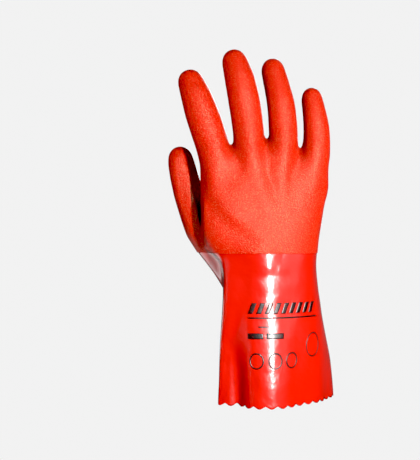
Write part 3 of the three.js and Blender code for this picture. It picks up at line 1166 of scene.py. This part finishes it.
# The bowl's measures in metres: radius of its flat floor, radius and height of its rim, and radius
# of the bend between floor and wall; with its steps along the bend and all round
BOWL = {"floor": 1.5, "rim": 2.2, "height": 2.4, "bend": 0.7}
BEND_STEPS = 8
BOWL_STEPS = 64


# The bowl's finish: even and pale to the camera, and to the glove as bright as its surroundings
# say, at full strength in reflections and weaker as a light
def backdrop_material(brightness):
    material = bpy.data.materials.new("Backdrop")
    material.use_nodes = True
    nodes, links = material.node_tree.nodes, material.node_tree.links
    nodes.clear()
    end = nodes.new("ShaderNodeOutputMaterial")
    seen = nodes.new("ShaderNodeEmission")
    seen.inputs["Strength"].default_value = brightness
    where = nodes.new("ShaderNodeTexCoord")
    split = nodes.new("ShaderNodeSeparateXYZ")
    behind = nodes.new("ShaderNodeMath")
    behind.operation = "MULTIPLY"
    behind.inputs[1].default_value = -1
    turn = nodes.new("ShaderNodeMath")
    turn.operation = "ARCTAN2"
    share = nodes.new("ShaderNodeMapRange")
    share.inputs["From Min"].default_value = -math.pi
    share.inputs["From Max"].default_value = math.pi
    glow = nodes.new("ShaderNodeValToRGB")
    ramp = glow.color_ramp.elements
    while len(ramp) < len(SURROUNDINGS):
        ramp.new(0.5)
    for stop, row in zip(ramp, SURROUNDINGS):
        stop.position = (row["turn"] + 180) / 360
        stop.color = [row["glow"]] * 3 + [1]
    mirrored = nodes.new("ShaderNodeEmission")
    shining = nodes.new("ShaderNodeEmission")
    shining.inputs["Strength"].default_value = BOWL_LIGHT
    ray = nodes.new("ShaderNodeLightPath")
    by_gloss = nodes.new("ShaderNodeMixShader")
    by_camera = nodes.new("ShaderNodeMixShader")
    links.new(where.outputs["Object"], split.inputs["Vector"])
    links.new(split.outputs["Y"], behind.inputs[0])
    links.new(split.outputs["X"], turn.inputs[0])
    links.new(behind.outputs["Value"], turn.inputs[1])
    links.new(turn.outputs["Value"], share.inputs["Value"])
    links.new(share.outputs["Result"], glow.inputs["Fac"])
    links.new(glow.outputs["Color"], mirrored.inputs["Color"])
    links.new(glow.outputs["Color"], shining.inputs["Color"])
    links.new(ray.outputs["Is Glossy Ray"], by_gloss.inputs["Fac"])
    links.new(shining.outputs["Emission"], by_gloss.inputs[1])
    links.new(mirrored.outputs["Emission"], by_gloss.inputs[2])
    links.new(ray.outputs["Is Camera Ray"], by_camera.inputs["Fac"])
    links.new(by_gloss.outputs["Shader"], by_camera.inputs[1])
    links.new(seen.outputs["Emission"], by_camera.inputs[2])
    links.new(by_camera.outputs["Shader"], end.inputs["Surface"])
    return material


# The bowl that is floor and backdrop, spun from its profile
def backdrop_bowl(brightness):
    form = bmesh.new()
    profile = [(0, 0), (BOWL["floor"], 0)]
    for k in range(1, BEND_STEPS + 1):
        turn = math.pi / 2 * k / BEND_STEPS
        across = BOWL["floor"] + BOWL["bend"] * math.sin(turn)
        profile.append((across, BOWL["bend"] - BOWL["bend"] * math.cos(turn)))
    profile.append((BOWL["rim"], BOWL["height"]))
    verts = [form.verts.new((x, 0, z)) for x, z in profile]
    edges = [form.edges.new(pair) for pair in zip(verts, verts[1:])]
    bmesh.ops.spin(
        form,
        geom=verts + edges,
        cent=(0, 0, 0),
        axis=(0, 0, 1),
        angle=math.tau,
        steps=BOWL_STEPS,
        use_merge=True,
    )
    bmesh.ops.remove_doubles(form, verts=form.verts[:], dist=MERGE)
    mesh = bpy.data.meshes.new("backdrop")
    form.to_mesh(mesh)
    form.free()
    mesh.shade_smooth()
    mesh.materials.append(backdrop_material(brightness))
    bowl = bpy.data.objects.new("backdrop", mesh)
    bpy.context.scene.collection.objects.link(bowl)


class GLOVE_OT_studio(bpy.types.Operator):
    """Sets up the camera, the soft lights and the pale bowl that is floor and backdrop"""

    bl_idname = "glove.studio"
    bl_label = "Studio"

    def execute(self, context):
        studio = context.scene.studio
        backdrop_bowl(studio.backdrop)
        for row in LIGHTS:
            softbox(row, getattr(studio, row["name"] + "_power"))
        camera = bpy.data.cameras.new("camera")
        camera.lens = studio.lens
        camera.clip_end = 10
        eye = bpy.data.objects.new("camera", camera)
        eye.location = studio.camera_at
        eye.rotation_euler = (math.pi / 2, 0, 0)
        context.scene.collection.objects.link(eye)
        context.scene.camera = eye
        view = context.scene.view_settings
        view.view_transform = "Standard"
        view.use_curve_mapping = True
        view.curve_mapping.black_level = [studio.black] * 3
        view.curve_mapping.update()
        return {"FINISHED"}


class GLOVE_PT_panel(bpy.types.Panel):
    """Lists the glove's operators and settings"""

    bl_idname = "GLOVE_PT_panel"
    bl_label = "Gauntlet Glove"
    bl_space_type = "VIEW_3D"
    bl_region_type = "UI"
    bl_category = "Glove"

    def draw(self, context):
        for name in SETTINGS:
            box = self.layout.box()
            settings = getattr(context.scene, name)
            for key in settings.bl_rna.properties.keys():
                if key not in ("rna_type", "name"):
                    box.prop(settings, key)
        for operator in OPERATORS:
            self.layout.operator(operator.bl_idname)


SETTINGS = {
    "glove_sizes": GloveSizes,
    "cuff_edge": CuffEdge,
    "glove_colours": GloveColours,
    "studio": Studio,
}
OPERATORS = (GLOVE_OT_hand, GLOVE_OT_cuff, GLOVE_OT_print, GLOVE_OT_studio)


def register():
    for name, settings in SETTINGS.items():
        bpy.utils.register_class(settings)
        setattr(bpy.types.Scene, name, PointerProperty(type=settings))
    for operator in OPERATORS:
        bpy.utils.register_class(operator)
    bpy.utils.register_class(GLOVE_PT_panel)


def unregister():
    bpy.utils.unregister_class(GLOVE_PT_panel)
    for operator in reversed(OPERATORS):
        bpy.utils.unregister_class(operator)
    for name, settings in reversed(SETTINGS.items()):
        delattr(bpy.types.Scene, name)
        bpy.utils.unregister_class(settings)


def main():
    register()
    bpy.ops.glove.hand()
    bpy.ops.glove.cuff()
    bpy.ops.glove.print()
    bpy.ops.glove.studio()


if __name__ == "__main__":
    main()
